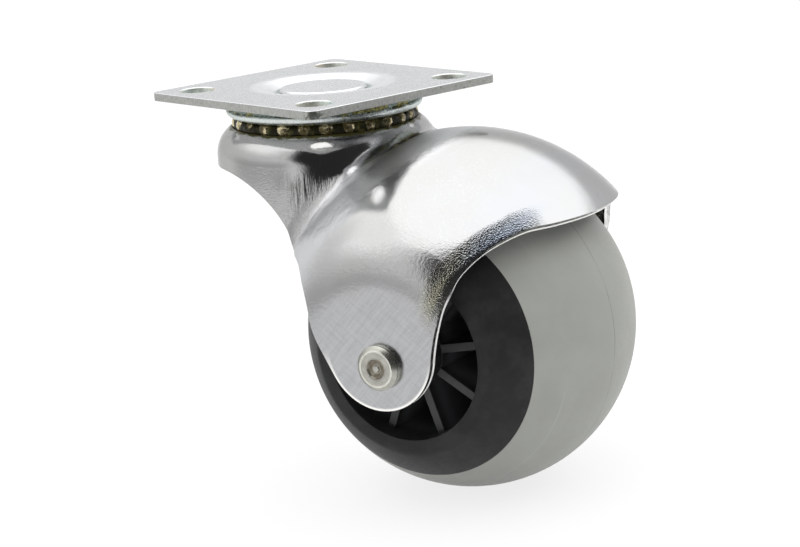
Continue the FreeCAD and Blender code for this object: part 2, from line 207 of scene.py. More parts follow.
class CastorStageSettings(bpy.types.PropertyGroup):
    """Camera, floor and light."""
    camera_place: FloatVectorProperty(
        name="Camera", description="Where the camera stands", unit="LENGTH",
        size=3, default=(0.193377, -0.282204, 0.051342))
    camera_azimuth: FloatProperty(
        name="Azimuth", description="Turn of the camera about the vertical", unit="ROTATION",
        default=math.radians(32.7275))
    camera_elevation: FloatProperty(
        name="Elevation", description="Height of the camera above the horizon", unit="ROTATION",
        default=math.radians(13.5408))
    camera_roll: FloatProperty(
        name="Roll", description="Tilt of the photograph", unit="ROTATION",
        default=math.radians(3.5233))
    lens: FloatProperty(
        name="Lens", description="Focal length for a 36 mm wide sensor, in mm", min=1, default=100.151)
    floor_colour: FloatVectorProperty(
        name="Floor", description="Colour of the floor and backdrop", subtype="COLOR",
        size=3, min=0, max=1, default=(0.9, 0.9, 0.9))
    soft_box: FloatProperty(
        name="Soft box", description="Brightness of the soft box overhead", min=0, default=2.15)
    side_light: FloatProperty(
        name="Side light", description="Brightness of the light at the left, seen in the plating",
        min=0, default=1.75)
    grey_board: FloatProperty(
        name="Grey board", description="Brightness of the low board at the left, seen in the plating",
        min=0, default=0.66)
    dark_room: FloatProperty(
        name="Dark room", description="Brightness of the room behind the camera, seen in the plating",
        min=0, default=0.036)


def deselect_all():
    """Nothing selected and nothing active."""
    bpy.ops.object.select_all(action="DESELECT")
    bpy.context.view_layer.objects.active = None


def choose(piece):
    """Only this piece selected and active."""
    deselect_all()
    piece.select_set(True)
    bpy.context.view_layer.objects.active = piece


def copy_of_node(node, name):
    """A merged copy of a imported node, standing for it and riding where it rides."""
    source = frame["nodes"][node]
    choose(source)
    bpy.ops.object.duplicate()
    piece = bpy.context.active_object
    piece.name = name
    del piece["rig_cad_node"]
    choose(piece)
    bpy.ops.object.mode_set(mode="EDIT")
    bpy.ops.mesh.select_all(action="SELECT")
    bpy.ops.mesh.remove_doubles(threshold=0.001 * MM)
    bpy.ops.mesh.tris_convert_to_quads(face_threshold=math.radians(2), shape_threshold=math.radians(40))
    bpy.ops.object.mode_set(mode="OBJECT")
    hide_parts(node)
    return piece


def soften_edges(piece, width, segments, angle, slot=-1):
    """Rounds every edge sharper than the angle; the rounding can take a finish of its own."""
    choose(piece)
    bpy.ops.object.modifier_add(type="BEVEL")
    bevel = piece.modifiers[-1]
    bevel.width = width
    bevel.segments = segments
    bevel.material = slot
    bevel.limit_method = "ANGLE"
    bevel.angle_limit = angle
    bevel.use_clamp_overlap = True
    bevel.miter_outer = "MITER_SHARP"
    bpy.ops.object.modifier_apply(modifier=bevel.name)


def smooth(piece, angle):
    """Smooth shading led by the large faces, with edges sharper than the angle kept."""
    choose(piece)
    bpy.ops.object.shade_smooth_by_angle(angle=angle)
    bpy.ops.object.modifier_add(type="WEIGHTED_NORMAL")
    piece.modifiers[-1].keep_sharp = True
    piece.modifiers[-1].weight = 80
    bpy.ops.object.modifier_apply(modifier=piece.modifiers[-1].name)


def dress(piece, material):
    """Gives a piece one finish."""
    piece.data.materials.clear()
    piece.data.materials.append(material)


def dress_lowest_strip(piece, material, angle):
    """Gives a second finish to the strip of faces round the lowest one, up to the sharp edges."""
    piece.data.materials.append(material)
    piece.active_material_index = len(piece.data.materials) - 1
    choose(piece)
    bpy.ops.object.mode_set(mode="EDIT")
    bpy.ops.mesh.select_mode(type="EDGE")
    bpy.ops.mesh.select_all(action="DESELECT")
    bpy.ops.mesh.edges_select_sharp(sharpness=angle)
    bpy.ops.mesh.mark_seam(clear=False)
    bpy.ops.mesh.select_mode(type="FACE")
    bpy.ops.mesh.select_all(action="DESELECT")
    bpy.ops.object.mode_set(mode="OBJECT")
    min(piece.data.polygons, key=lambda face: face.center.z).select = True
    bpy.ops.object.mode_set(mode="EDIT")
    bpy.ops.mesh.select_linked(delimit={"SEAM"})
    bpy.ops.object.material_slot_assign()
    bpy.ops.mesh.select_all(action="DESELECT")
    bpy.ops.object.mode_set(mode="OBJECT")


class NodeTree:
    """A node tree being built, with short calls that add nodes to it."""

    def __init__(self, owner, place):
        owner.use_nodes = True
        self.tree = owner.node_tree
        self.tree.nodes.clear()
        self.place = self.tree.nodes.new("ShaderNodeTexCoord").outputs[place]

    def put(self, socket, value):
        """Links a socket to another, or sets its value."""
        if isinstance(value, bpy.types.NodeSocket):
            self.tree.links.new(value, socket)
        elif socket.type == "RGBA":
            socket.default_value = (*value[:3], 1)
        else:
            socket.default_value = value

    def stretched(self, scale, turn=(0, 0, 0), shift=(0, 0, 0)):
        """The place on the piece, turned, then stretched and shifted."""
        place = self.place
        if any(turn):
            turned = self.tree.nodes.new("ShaderNodeMapping")
            self.put(turned.inputs["Vector"], place)
            turned.inputs["Rotation"].default_value = turn
            place = turned.outputs["Vector"]
        mapping = self.tree.nodes.new("ShaderNodeMapping")
        self.put(mapping.inputs["Vector"], place)
        mapping.inputs["Scale"].default_value = scale
        mapping.inputs["Location"].default_value = shift
        return mapping.outputs["Vector"]

    def noise(self, scale, detail=3.0, roughness=0.55, vector=None, distortion=0.0):
        """Cloudy pattern; scale counts patches in a metre."""
        node = self.tree.nodes.new("ShaderNodeTexNoise")
        self.put(node.inputs["Vector"], vector or self.place)
        node.inputs["Scale"].default_value = scale
        node.inputs["Detail"].default_value = detail
        node.inputs["Roughness"].default_value = roughness
        node.inputs["Distortion"].default_value = distortion
        return node.outputs["Fac"]

    def ramp(self, value, low, high, start=0.0, end=1.0):
        """Value brought from the range low..high to start..end, and clamped."""
        node = self.tree.nodes.new("ShaderNodeMapRange")
        node.clamp = True
        node.interpolation_type = "SMOOTHSTEP"
        self.put(node.inputs["Value"], value)
        node.inputs["From Min"].default_value = low
        node.inputs["From Max"].default_value = high
        node.inputs["To Min"].default_value = start
        node.inputs["To Max"].default_value = end
        return node.outputs["Result"]

    def maths(self, operation, first, second=0.0):
        """One sum of two values, or of one."""
        node = self.tree.nodes.new("ShaderNodeMath")
        node.operation = operation
        self.put(node.inputs[0], first)
        self.put(node.inputs[1], second)
        return node.outputs["Value"]

    def product(self, value, *others):
        """The values multiplied."""
        for other in others:
            value = self.maths("MULTIPLY", value, other)
        return value

    def total(self, value, *others):
        """The values added."""
        for other in others:
            value = self.maths("ADD", value, other)
        return value

    def band(self, value, rise, fall):
        """1 between two borders: up over the first range, down over the second."""
        return self.product(self.ramp(value, *rise), self.ramp(value, *fall, 1, 0))

    def mix(self, share, first, second):
        """Two colours mixed; a colour mix has its colours in sockets 6 and 7, and its result in 2."""
        node = self.tree.nodes.new("ShaderNodeMix")
        node.data_type = "RGBA"
        self.put(node.inputs["Factor"], share)
        self.put(node.inputs[6], first)
        self.put(node.inputs[7], second)
        return node.outputs[2]

    def coordinate(self, axis):
        """One coordinate of the place, in metres."""
        node = self.tree.nodes.new("ShaderNodeSeparateXYZ")
        self.put(node.inputs["Vector"], self.place)
        return node.outputs[axis]

    def distance_to(self, point):
        """Distance of the place from a point."""
        node = self.tree.nodes.new("ShaderNodeVectorMath")
        node.operation = "DISTANCE"
        self.put(node.inputs[0], self.place)
        node.inputs[1].default_value = point
        return node.outputs["Value"]

    def radius_about(self, axis, centre):
        """Distance of the place from a line along an axis through a point."""
        node = self.tree.nodes.new("ShaderNodeVectorMath")
        node.operation = "MULTIPLY"
        self.put(node.inputs[0], self.place)
        keep = [1, 1, 1]
        keep["XYZ".index(axis)] = 0
        node.inputs[1].default_value = keep
        flat = self.tree.nodes.new("ShaderNodeVectorMath")
        flat.operation = "DISTANCE"
        self.put(flat.inputs[0], node.outputs["Vector"])
        flat.inputs[1].default_value = [c * k for c, k in zip(centre, keep)]
        return flat.outputs["Value"]

    def ring_about_y(self, centre, half_width, half_height):
        """1 on an ellipse in the side view about a point, less inside it and more outside."""
        scale = (1 / half_width, 0, 1 / half_height)
        node = self.tree.nodes.new("ShaderNodeVectorMath")
        node.operation = "LENGTH"
        self.put(node.inputs[0], self.stretched(scale, shift=[-c * k for c, k in zip(centre, scale)]))
        return node.outputs["Value"]

    def from_corner_holes(self, pitch, turn):
        """Distance in plan from the nearest of four places at the corners of a turned square."""
        upright = self.stretched((1, 1, 0), (0, 0, -turn))
        fold = self.tree.nodes.new("ShaderNodeVectorMath")
        fold.operation = "ABSOLUTE"
        self.put(fold.inputs[0], upright)
        node = self.tree.nodes.new("ShaderNodeVectorMath")
        node.operation = "DISTANCE"
        self.put(node.inputs[0], fold.outputs["Vector"])
        node.inputs[1].default_value = (pitch / 2, pitch / 2, 0)
        return node.outputs["Value"]

    def relief(self, height, depth, strength=1.0, under=None):
        """A bump of this depth, in metres."""
        node = self.tree.nodes.new("ShaderNodeBump")
        node.inputs["Strength"].default_value = strength
        node.inputs["Distance"].default_value = depth
        self.put(node.inputs["Height"], height)
        if under is not None:
            self.put(node.inputs["Normal"], under)
        return node.outputs["Normal"]


class Finish(NodeTree):
    """A material being built round one shader."""

    def __init__(self, name):
        self.material = bpy.data.materials.new(name)
        super().__init__(self.material, "Object")
        output = self.tree.nodes.new("ShaderNodeOutputMaterial")
        self.shader = self.tree.nodes.new("ShaderNodeBsdfPrincipled")
        self.tree.links.new(self.shader.outputs["BSDF"], output.inputs["Surface"])

    def set(self, **values):
        """Sets or links sockets of the shader; an underscore stands for a space."""
        for name, value in values.items():
            self.put(self.shader.inputs[name.replace("_", " ")], value)


def toned(colour, share):
    """The colour made darker or lighter, by one share or by one for each channel."""
    shares = share if isinstance(share, tuple) else (share, share, share)
    return tuple(c * s for c, s in zip(colour, shares))


def rolled_zinc(finish, colour):
    """Zinc on rolled sheet: its tone, its roughness and the height of its grain."""
    cloud = finish.ramp(finish.noise(150, 4, 0.6), 0.35, 0.7)
    grain = finish.noise(5200, 2, 0.6, finish.stretched((1, 0.4, 1), (0, 0, -PLATE_TURN)))
    rubbed = finish.ramp(finish.noise(900, 5, 0.7), 0.5, 0.8)
    tone = finish.mix(cloud, toned(colour, 0.95), colour)
    tone = finish.mix(rubbed, tone, toned(colour, 1.05))
    rough = finish.ramp(grain, 0.3, 0.7, 0.24, 0.32)
    height = finish.ramp(grain, 0.3, 0.7, 0, 0.25)
    return tone, rough, height


def set_zinc(finish, tone, rough, height, tilt=None):
    """Closes a zinc finish: bright metal with this tone, roughness and grain."""
    finish.set(
        Base_Color=tone,
        Metallic=1.0,
        Roughness=rough,
        Specular_Tint=(0.8, 0.8, 0.8),
        Normal=finish.relief(height, 0.012 * MM, 0.5, tilt),
    )
    return finish.material


def rivet_finish(name, colour):
    """Bright zinc with a fine grain and faint clouds."""
    finish = Finish(name)
    return set_zinc(finish, *rolled_zinc(finish, colour))


def plate_finish(name, colour, sheared):
    """Bright zinc, greyer and streaked where it was cut, with a painted shade ring round the rivet's head.
    """
    finish = Finish(name)
    tone, rough, grain = rolled_zinc(finish, colour)
    height = finish.coordinate("Z")
    from_middle = finish.radius_about("Z", ORIGIN)
    from_holes = finish.from_corner_holes(HOLE_PITCH, PLATE_TURN)

    in_holes = finish.ramp(from_holes, HOLE_R + 0.3 * MM, HOLE_R + 0.55 * MM, 1, 0)
    below_top = finish.ramp(height, -0.13 * MM, -0.07 * MM, 1, 0)
    above_underside = finish.ramp(height, 0.01 * MM - SHEET, 0.06 * MM - SHEET)
    past_race = finish.ramp(from_middle, RACE_HIGH.x + 0.2 * MM, RACE_HIGH.x + 0.7 * MM)
    cut = finish.product(below_top, above_underside, past_race)
    streaks = finish.noise(3600, 4, 0.7, finish.stretched((1, 1, 0.4)))
    edge = finish.mix(finish.ramp(streaks, 0.3, 0.7), toned(sheared, 0.82), toned(sheared, 1.1))
    stained = finish.ramp(finish.noise(90, 2), 0.35, 0.65)
    wall = finish.mix(stained, WARM_WALL, TEAL_WALL)
    tone = finish.mix(cut, tone, finish.mix(in_holes, edge, wall))

    near_corner = finish.ramp(finish.distance_to(SMUDGE_PLACE), 0.4 * MM, 1.9 * MM, 0.27, 0)
    smudge = finish.ramp(finish.total(near_corner, finish.noise(1900, 4, 0.7)), 0.58, 0.72)
    tone = finish.mix(finish.product(smudge, cut, 0.8), tone, SMUDGE_COLOUR)

    # Painted shade: a dark ring in the dish round the rivet's head, standing for the shade between the
    # head and the plate.
    head_shade_ring = finish.band(
        from_middle, (HEAD_R - 0.1 * MM, HEAD_R), (HEAD_R + 0.3 * MM, HEAD_R + 1.1 * MM))
    in_dish = finish.ramp(height, -0.7 * MM, -0.6 * MM, 0.75, 0)
    tone = finish.mix(finish.product(head_shade_ring, in_dish), tone, HEAD_SHADE_COLOUR)

    dished = finish.ramp(from_middle, 10.6 * MM, 12.0 * MM, 0.12, 0)
    rough = finish.total(rough, finish.product(cut, 0.25), dished)
    grain = finish.total(grain, finish.product(cut, streaks))
    rolled = finish.product(finish.ramp(height, -SHEET, 0.2 * MM, 1, 0), in_holes)
    return set_zinc(finish, tone, rough, grain, finish.relief(rolled, 0.16 * MM))


def greasy_finish(name, steel, grease):
    """Zinc ring with old grease smeared on its wall, its rolled lip wiped nearly clean; the wall's tone is
    painted dark as the shade under the plate.
    """
    finish = Finish(name)
    smear = finish.noise(260, 5, 0.68, finish.stretched((1, 1, 3.0)), 0.8)
    fine = finish.noise(2200, 3, 0.6)
    height = finish.coordinate("Z")
    on_wall = finish.ramp(height, RACE_LOW.z + 0.95 * MM, RACE_LOW.z + 1.35 * MM)
    under = finish.ramp(height, RACE_LOW.z + 0.02 * MM, RACE_LOW.z + 0.35 * MM, 0.25, 0)
    film = finish.ramp(finish.total(smear, finish.product(on_wall, 0.13), under), 0.60, 0.72)
    flecks = finish.mix(finish.ramp(fine, 0.35, 0.65), toned(grease, 0.35), toned(grease, 1.1))
    lip = toned(steel, (0.98, 1.03, 0.99))
    # Painted shade: the wall under the plate takes a much darker copy of the lip's tone, standing for the
    # shade there.
    wall = toned(steel, (0.24, 0.29, 0.26))
    finish.set(
        Base_Color=finish.mix(film, finish.mix(on_wall, lip, wall), flecks),
        Metallic=finish.ramp(film, 0, 1, 1.0, 0.4),
        Roughness=finish.ramp(fine, 0.3, 0.7, 0.24, 0.40),
        Specular_Tint=(0.75, 0.78, 0.76),
        Normal=finish.relief(finish.total(smear, fine), 0.03 * MM, 0.6),
    )
    return finish.material


def curled_rim(finish, along, height):
    """Along the hood's rim: how far the sheet curls, and where its plating is pebbled."""
    rim = finish.ring_about_y(WHEEL_CENTRE + RIM_CENTRE, RIM_HALF_LENGTH, RIM_HALF_HEIGHT)
    before_tip = finish.ramp(along, WHEEL_CENTRE.x + 16.5 * MM, WHEEL_CENTRE.x + 20 * MM, 1, 0)
    above_ear = finish.ramp(height, WHEEL_CENTRE.z + 4 * MM, WHEEL_CENTRE.z + 10 * MM)
    by_rim = finish.product(before_tip, above_ear)
    curl = finish.product(finish.ramp(rim, 0.78, 1.24, 1, 0), by_rim)
    pebbled = finish.product(
        finish.ramp(rim, 1.06, 1.26, 1, 0.08), by_rim, finish.ramp(rim, 1.0, 1.07, 0.35, 1))
    return curl, pebbled


def chrome_finish(name, colour, grease):
    """Bright plating over a drawn sheet: stretch marks, draw marks, scratches, grease at the race, and
    painted highlights in the crease and along the ear's foot.
    """
    finish = Finish(name)
    from_axle = finish.radius_about("Y", WHEEL_CENTRE)
    from_swivel = finish.radius_about("Z", ORIGIN)
    across = finish.maths("ABSOLUTE", finish.coordinate("Y"))
    along = finish.coordinate("X")
    height = finish.coordinate("Z")

    curl, pebbled = curled_rim(finish, along, height)
    dome = finish.product(
        finish.band(from_axle, (10 * MM, 13 * MM), (16 * MM, 22 * MM)),
        finish.ramp(across, 12 * MM, 17 * MM))
    on_neck = finish.product(
        finish.ramp(from_swivel, NECK_R * 1.03, NECK_R * 1.08, 1, 0),
        finish.ramp(height, FORK_HIGH.z - 8 * MM, FORK_HIGH.z - 4.5 * MM, 1, 0),
        finish.ramp(along, 0.5 * MM, 4.5 * MM, 0.12, 1))
    crease = finish.band(from_swivel, (NECK_R * 1.03, NECK_R * 1.12), (NECK_R * 1.35, NECK_R * 1.7))
    on_ear = finish.product(
        finish.ramp(from_axle, 8 * MM, 15 * MM, 1, 0), finish.ramp(across, 21 * MM, 25 * MM))

    waves = finish.noise(150, 2, 0.5)
    buckles = finish.noise(420, 3, 0.6)
    peel = finish.noise(2100, 2, 0.55)
    pebbles = finish.noise(5000, 1, 0.5)
    draw = finish.noise(1500, 4, 0.6, finish.stretched((1, 1, 0.06)))
    brushed = finish.noise(3400, 3, 0.65, finish.stretched((0.07, 1, 1), (0, math.radians(48), 0)))
    crossed = finish.noise(3400, 3, 0.65, finish.stretched((0.07, 1, 1), (0, math.radians(-35), 0)))
    hairline = finish.noise(9000, 2, 0.6, finish.stretched((0.05, 1, 1), (0, math.radians(-30), 0)))
    scratches = finish.total(brushed, finish.product(crossed, 0.7))

    rough = finish.total(
        finish.ramp(hairline, 0.35, 0.7, 0.08, 0.13),
        finish.product(crease, 0.27), finish.product(on_ear, 0.14), finish.product(dome, 0.10))
    bumps = finish.relief(waves, 0.04 * MM, 0.5)
    for height_map, depth, strength in (
        (curl, -0.95 * MM, 1.0),
        (finish.product(buckles, crease), 0.22 * MM, 0.8),
        (peel, 0.012 * MM, 0.6),
        (finish.product(peel, dome), 0.035 * MM, 0.7),
        (finish.product(pebbles, pebbled), 0.13 * MM, 1.0),
        (finish.product(draw, on_neck), 0.20 * MM, 0.9),
        (finish.product(scratches, on_ear), 0.022 * MM, 0.7),
    ):
        bumps = finish.relief(height_map, depth, strength, bumps)

    cloud = finish.ramp(finish.noise(110, 4, 0.65), 0.35, 0.7)
    plating = finish.mix(cloud, toned(colour, (0.985, 0.975, 0.95)), colour)
    specks = finish.ramp(finish.noise(3300, 2, 0.6), 0.56, 0.68)
    warm = finish.mix(specks, toned(colour, (0.84, 0.81, 0.62)), toned(colour, (1.7, 1.6, 1.15)))
    cold = toned(colour, (0.86, 0.96, 1.12))
    to_tip = finish.ramp(along, WHEEL_CENTRE.x + 10 * MM, WHEEL_CENTRE.x + 15 * MM)
    plating = finish.mix(pebbled, plating, finish.mix(to_tip, warm, cold))
    lines = finish.ramp(scratches, 0.60, 1.05)
    plating = finish.mix(on_ear, plating, finish.mix(lines, toned(colour, 0.91), toned(colour, 1.06)))
    # Painted highlight: the crease is lightened in the base colour, standing for the soft box's light in
    # its valley.
    plating = finish.mix(crease, plating, toned(colour, 1.45))
    # Painted highlight: a near-white line along the ear's rounded foot edge, standing for the light that
    # its rounding would catch.
    foot = finish.ring_about_y(WHEEL_CENTRE + FOOT_CENTRE, FOOT_R, FOOT_R)
    foot_highlight = finish.product(
        finish.ramp(foot, 0.945, 0.985),
        finish.ramp(across, EAR_FACE - 0.4 * MM, EAR_FACE - 0.2 * MM),
        finish.ramp(height, WHEEL_CENTRE.z - 3 * MM, WHEEL_CENTRE.z + 2 * MM, 1, 0))
    plating = finish.mix(foot_highlight, plating, FOOT_HIGHLIGHT_COLOUR)

    by_race = finish.ramp(from_swivel, RACE_HIGH.x - 0.9 * MM, RACE_HIGH.x + 0.5 * MM, 0.45, 0)
    high_up = finish.ramp(height, FORK_HIGH.z - 0.9 * MM, FORK_HIGH.z - 0.2 * MM)
    smear = finish.noise(700, 4, 0.65)
    film = finish.ramp(finish.total(smear, finish.product(by_race, high_up)), 0.74, 0.86)
    finish.set(
        Base_Color=finish.mix(film, plating, toned(grease, 0.3)),
        Metallic=finish.ramp(film, 0, 1, 1.0, 0.3),
        Roughness=finish.total(rough, finish.product(film, 0.25)),
        Specular_Tint=(0.72, 0.72, 0.72),
        Normal=bumps,
    )
    return finish.material


def cut_finish(name, colour):
    """Cut edge of the sheet: plated over, torn in teeth, with a painted highlight along its inner side and
    over its lowest part.
    """
    finish = Finish(name)
    torn = finish.noise(1700, 3, 0.6)
    fine = finish.noise(4200, 3, 0.6)
    across = finish.maths("ABSOLUTE", finish.coordinate("Y"))
    height = finish.coordinate("Z")
    inside_ear = finish.ramp(across, EAR_FACE - 0.85 * MM, EAR_FACE - 0.7 * MM, 1, 0)
    inside_hood = finish.ramp(finish.distance_to(WHEEL_CENTRE), HOOD_R - 0.9 * MM, HOOD_R - 0.7 * MM, 1, 0)
    low_down = finish.ramp(height, WHEEL_CENTRE.z + 9 * MM, WHEEL_CENTRE.z + 13 * MM, 1, 0)
    high_up = finish.maths("SUBTRACT", 1.0, low_down)
    # Painted highlight: a near-white, dull line along the inner side of the cut edge, standing for light
    # caught by the edge.
    edge_highlight = finish.maths(
        "MAXIMUM", finish.product(inside_ear, low_down), finish.product(inside_hood, high_up))
    tone = finish.mix(finish.ramp(torn, 0.35, 0.65), toned(colour, 0.6), colour)
    # Painted highlight: low down, the cut edge also turns near-white.
    foot = finish.ramp(height, WHEEL_CENTRE.z - 5 * MM, WHEEL_CENTRE.z, 1, 0)
    tone = finish.mix(foot, tone, EDGE_HIGHLIGHT_COLOUR)
    finish.set(
        Base_Color=finish.mix(edge_highlight, tone, EDGE_HIGHLIGHT_COLOUR),
        Metallic=finish.ramp(edge_highlight, 0, 1, 1.0, 0.25),
        Roughness=finish.ramp(edge_highlight, 0, 1, 0.20, 0.6),
        Normal=finish.relief(fine, 0.02 * MM, 0.5, finish.relief(torn, 0.16 * MM, 0.8)),
    )
    return finish.material


def nickel_finish(name, colour):
    """Satin nickel with a brown stain in the formed ring and a painted highlight line round the head's
    face.
    """
    finish = Finish(name)
    ring = finish.radius_about("Y", WHEEL_CENTRE)
    spots = finish.noise(1500, 4, 0.65)
    grain = finish.noise(5200, 2, 0.5)
    cloud = finish.ramp(finish.noise(700, 4, 0.65), 0.35, 0.7)
    in_dimple = finish.band(ring, (0.45 * MM, 0.85 * MM), (1.1 * MM, 1.9 * MM))
    dirty = finish.product(in_dimple, finish.ramp(spots, 0.3, 0.6, 0.5, 0.95))
    # Painted highlight: a lighter line round the edge of the head's face, standing for light caught by its
    # rounded rim.
    on_line = finish.band(
        ring, (AXLE_FACE_R - 0.30 * MM, AXLE_FACE_R - 0.12 * MM), (AXLE_FACE_R, AXLE_FACE_R + 0.12 * MM))
    line = finish.product(on_line, finish.ramp(spots, 0.35, 0.6, 0.55, 1))
    tone = finish.mix(cloud, toned(colour, 0.88), toned(colour, 1.08))
    tone = finish.mix(line, tone, toned(colour, 1.7))
    finish.set(
        Base_Color=finish.mix(dirty, tone, STAIN_COLOUR),
        Metallic=finish.ramp(dirty, 0, 1, 1.0, 0.55),
        Roughness=finish.ramp(grain, 0.3, 0.7, 0.26, 0.34),
        Normal=finish.relief(finish.total(grain, spots), 0.008 * MM, 0.5),
    )
    return finish.material


def ball_finish(name, colour):
    """Polished balls seen through a brown film of grease."""
    finish = Finish(name)
    film = finish.ramp(finish.noise(620, 3, 0.6), 0.40, 0.56)
    finish.set(
        Base_Color=finish.mix(film, colour, BROWN_FILM),
        Metallic=finish.ramp(film, 0, 1, 1.0, 0.5),
        Roughness=finish.ramp(film, 0, 1, 0.14, 0.38),
        Normal=finish.relief(finish.noise(1700, 3), 0.06 * MM, 0.6),
    )
    return finish.material


def grease_finish(name, colour):
    """Thick old grease: nearly black in the gap, olive where it is thin."""
    finish = Finish(name)
    lumps = finish.noise(1300, 4, 0.6)
    thin = finish.ramp(finish.noise(380, 4, 0.65), 0.50, 0.72)
    finish.set(
        Base_Color=finish.mix(thin, toned(colour, 0.05), toned(colour, 0.45)),
        Roughness=finish.ramp(lumps, 0.3, 0.7, 0.35, 0.6),
        Specular_IOR_Level=0.15,
        Normal=finish.relief(lumps, 0.16 * MM, 0.8),
    )
    return finish.material


def plastic_finish(name, colour):
    """Black moulded plastic with a fine grain, lightened down in the recesses as painted light, and dusty
    on the ribs' edges.
    """
    finish = Finish(name)
    grain = finish.noise(4200, 3, 0.6)
    cloud = finish.ramp(finish.noise(240, 4, 0.65), 0.4, 0.7)
    from_axle = finish.radius_about("Y", WHEEL_CENTRE)
    across = finish.maths("ABSOLUTE", finish.coordinate("Y"))
    # Painted light: the recess is given a lighter colour, standing for light that reaches into it.
    deep = finish.product(
        finish.ramp(across, 14 * MM, 17.3 * MM, 1, 0),
        finish.ramp(from_axle, RECESS_R - 0.3 * MM, RECESS_R + 0.2 * MM, 1, 0))
    on_ribs = finish.product(
        finish.band(across, (RIB_Y - 0.25 * MM, RIB_Y - 0.05 * MM), (RIB_Y + 0.05 * MM, RIB_Y + 0.2 * MM)),
        finish.ramp(from_axle, RECESS_R - 0.6 * MM, RECESS_R - 0.3 * MM, 1, 0))
    tone = finish.mix(cloud, toned(colour, 0.8), toned(colour, 1.3))
    tone = finish.mix(deep, tone, RECESS_LIGHT_COLOUR)
    finish.set(
        Base_Color=finish.mix(on_ribs, tone, RUBBED_COLOUR),
        Roughness=finish.ramp(grain, 0.3, 0.7, 0.42, 0.56),
        Specular_IOR_Level=0.2,
        Normal=finish.relief(grain, 0.012 * MM, 0.6),
    )
    return finish.material


def rubber_finish(name, colour, seam):
    """Grey tread moulded smooth, with its parting line, a faint weld line and a dusty bloom."""
    finish = Finish(name)
    cloud = finish.ramp(finish.noise(120, 5, 0.6), 0.35, 0.7)
    grain = finish.noise(3800, 3, 0.6)
    wander = finish.product(finish.noise(60, 2), 0.5 * MM)
    along = finish.total(finish.coordinate("Y"), wander)
    from_parting = finish.maths("ABSOLUTE", finish.maths("SUBTRACT", along, PARTING_Y))
    from_weld = finish.maths("ABSOLUTE", finish.maths("SUBTRACT", along, WELD_Y))
    parting = finish.product(
        finish.ramp(from_parting, seam * 0.3, seam, 1, 0),
        finish.ramp(finish.noise(130, 3), 0.35, 0.6, 0.25, 1))
    weld = finish.product(
        finish.ramp(from_weld, 0, seam * 1.6, 0.22, 0),
        finish.ramp(finish.noise(70, 2), 0.45, 0.65))
    tone = finish.mix(cloud, toned(colour, 0.95), toned(colour, 1.03))
    tone = finish.mix(finish.product(parting, 0.55), tone, toned(colour, 0.5))
    raised = finish.total(grain, finish.product(parting, 8.0), finish.product(weld, 6.0))
    finish.set(
        Base_Color=finish.mix(weld, tone, toned(colour, 1.5)),
        Roughness=finish.ramp(grain, 0.3, 0.7, 0.40, 0.52),
        Specular_IOR_Level=0.4,
        Normal=finish.relief(raised, 0.008 * MM, 0.5),
    )
    return finish.material


class CASTOR_OT_plate(bpy.types.Operator):
    """Dresses the plate, the kingpin and both races"""
    bl_idname = "castor.plate"
    bl_label = "Plate and races"

    def execute(self, context):
        steel = context.scene.castor_steel
        bright = plate_finish("bright_zinc", steel.zinc, steel.sheared)
        greasy = greasy_finish("greasy_zinc", steel.zinc, steel.grease)
        plain = rivet_finish("rivet_zinc", toned(steel.zinc, 1.05))
        for node, name, finish, slot in (
            ("top_plate", "plate", bright, "plate"),
            ("kingpin", "kingpin_rivet", plain, "kingpin"),
            ("upper_race", "race_ring", greasy, "race"),
            ("lower_race", "race_cup", greasy, "race"),
        ):
            piece = copy_of_node(node, name)
            smooth(piece, angle=math.radians(35))
            dress(piece, finish)
        return {"FINISHED"}


class CASTOR_OT_fork(bpy.types.Operator):
    """Dresses the pressed fork"""
    bl_idname = "castor.fork"
    bl_label = "Fork"

    def execute(self, context):
        steel = context.scene.castor_steel
        fork = copy_of_node("fork", "pressed_fork")
        dress(fork, chrome_finish("bright_plating", steel.chrome, steel.grease))
        dress_lowest_strip(fork, cut_finish("cut_edge", steel.cut_edge), angle=math.radians(40))
        soften_edges(fork, steel.fork_edge, segments=3, angle=math.radians(50), slot=1)
        smooth(fork, angle=math.radians(30))
        return {"FINISHED"}


class CASTOR_OT_axle(bpy.types.Operator):
    """Dresses the axle and its sleeve"""
    bl_idname = "castor.axle"
    bl_label = "Axle"

    def execute(self, context):
        steel = context.scene.castor_steel
        nickel = nickel_finish("satin_nickel", steel.nickel)
        for node, name, slot in (
            ("axle_rivet", "axle_pin", "axle"),
            ("axle_sleeve", "axle_tube", "sleeve"),
        ):
            piece = copy_of_node(node, name)
            soften_edges(piece, steel.axle_edge, segments=2, angle=math.radians(35))
            smooth(piece, angle=math.radians(30))
            dress(piece, nickel)
        return {"FINISHED"}


class CASTOR_OT_wheel(bpy.types.Operator):
    """Dresses the hub and the tread"""
    bl_idname = "castor.wheel"
    bl_label = "Wheel"

    def execute(self, context):
        wheel = context.scene.castor_wheel
        hub = copy_of_node("hub", "ribbed_hub")
        soften_edges(hub, wheel.hub_edge, segments=2, angle=math.radians(40))
        smooth(hub, angle=math.radians(30))
        dress(hub, plastic_finish("black_plastic", wheel.hub))
        tread = copy_of_node("tread", "grey_tread")
        smooth(tread, angle=math.radians(30))
        dress(tread, rubber_finish("grey_rubber", wheel.tread, wheel.seam_width))
        return {"FINISHED"}


